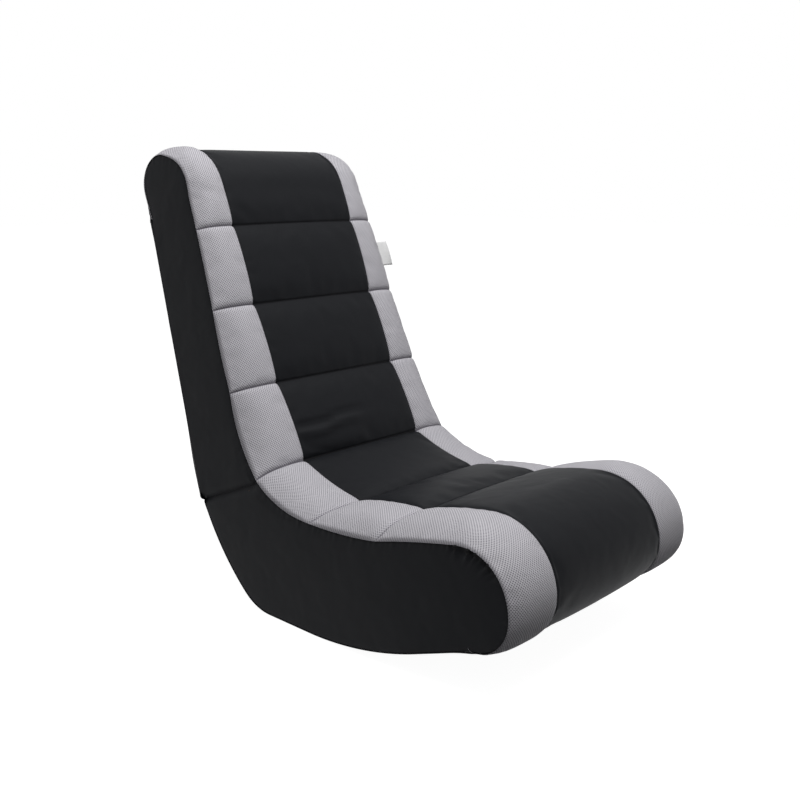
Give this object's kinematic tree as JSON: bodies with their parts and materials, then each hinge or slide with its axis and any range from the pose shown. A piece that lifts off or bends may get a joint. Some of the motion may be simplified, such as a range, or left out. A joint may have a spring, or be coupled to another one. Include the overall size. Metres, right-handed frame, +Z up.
{
  "type": "folding floor rocker chair",
  "caption": "Padded floor rocker chair without legs: a rocker seat block and a channelled backrest that folds forward onto it, black with light mesh stripes.",
  "frame": {"origin": "on the floor, under the middle of the chair's bounding box", "axes": "+Y to the chair's rear, -Y to its front, where the sitter's feet go; +X across the seat, to the side that has the label; +Z up"},
  "size_m": [0.4339, 0.7931, 0.6982],
  "materials": {
    "coated_fabric": "satin",
    "spacer_mesh": "matt",
    "foam": "matt",
    "wadding": "matt",
    "lining_cloth": "matt",
    "plywood": "matt",
    "hardboard": "matt",
    "plated_steel": "satin",
    "screw_steel": "satin",
    "label_cloth": "matt"
  },
  "bodies": {
    "base": {"base_frame_screws": "screw_steel", "base_hinge_board": "plywood", "base_hinge_leaf_left": "plated_steel", "base_hinge_leaf_right": "plated_steel", "base_hinge_screws": "screw_steel", "base_rear_cover": "coated_fabric", "base_rear_rail": "plywood", "base_side_board_left": "plywood", "base_side_board_right": "plywood", "base_side_cover_left": "coated_fabric", "base_side_cover_right": "coated_fabric", "base_side_padding_left": "wadding", "base_side_padding_right": "wadding", "base_slot_lining": "lining_cloth", "front_rail": "plywood", "hinge_pin_left": "plated_steel", "hinge_pin_right": "plated_steel", "seat_centre_cover": "coated_fabric", "seat_deck": "hardboard", "seat_foam": "foam", "seat_fold_centre_cover": "coated_fabric", "seat_fold_foam": "foam", "seat_fold_gusset_left": "coated_fabric", "seat_fold_gusset_right": "coated_fabric", "seat_fold_mesh_left": "spacer_mesh", "seat_fold_mesh_right": "spacer_mesh", "seat_mesh_left": "spacer_mesh", "seat_mesh_right": "spacer_mesh", "seat_middle_rail": "plywood", "underside_cover": "coated_fabric"},
    "backrest": {"back_bottom_board": "plywood", "back_centre_cover": "coated_fabric", "back_deck": "hardboard", "back_foam": "foam", "back_fold_centre_cover": "coated_fabric", "back_fold_foam": "foam", "back_fold_gusset_left": "coated_fabric", "back_fold_gusset_right": "coated_fabric", "back_fold_mesh_left": "spacer_mesh", "back_fold_mesh_right": "spacer_mesh", "back_frame_screws": "screw_steel", "back_hinge_leaf_left": "plated_steel", "back_hinge_leaf_right": "plated_steel", "back_hinge_screws": "screw_steel", "back_mesh_left": "spacer_mesh", "back_mesh_right": "spacer_mesh", "back_middle_rail": "plywood", "back_rear_panel": "coated_fabric", "back_side_board_left": "plywood", "back_side_board_right": "plywood", "back_side_cover_left": "coated_fabric", "back_side_cover_right": "coated_fabric", "back_side_padding_left": "wadding", "back_side_padding_right": "wadding", "back_slot_lining": "lining_cloth", "back_top_rail": "plywood", "side_tag": "label_cloth"}
  },
  "joints": [
    {"name": "back_fold", "type": "hinge", "parent": "base", "child": "backrest", "pos_m": [0, 0.10264, 0.1995], "axis": [1, 0, 0], "range_deg": [0, 97], "deforming": ["back_fold_centre_cover", "back_fold_foam", "back_fold_gusset_left", "back_fold_gusset_right", "back_fold_mesh_left", "back_fold_mesh_right", "seat_fold_centre_cover", "seat_fold_foam", "seat_fold_gusset_left", "seat_fold_gusset_right", "seat_fold_mesh_left", "seat_fold_mesh_right"]}
  ]
}
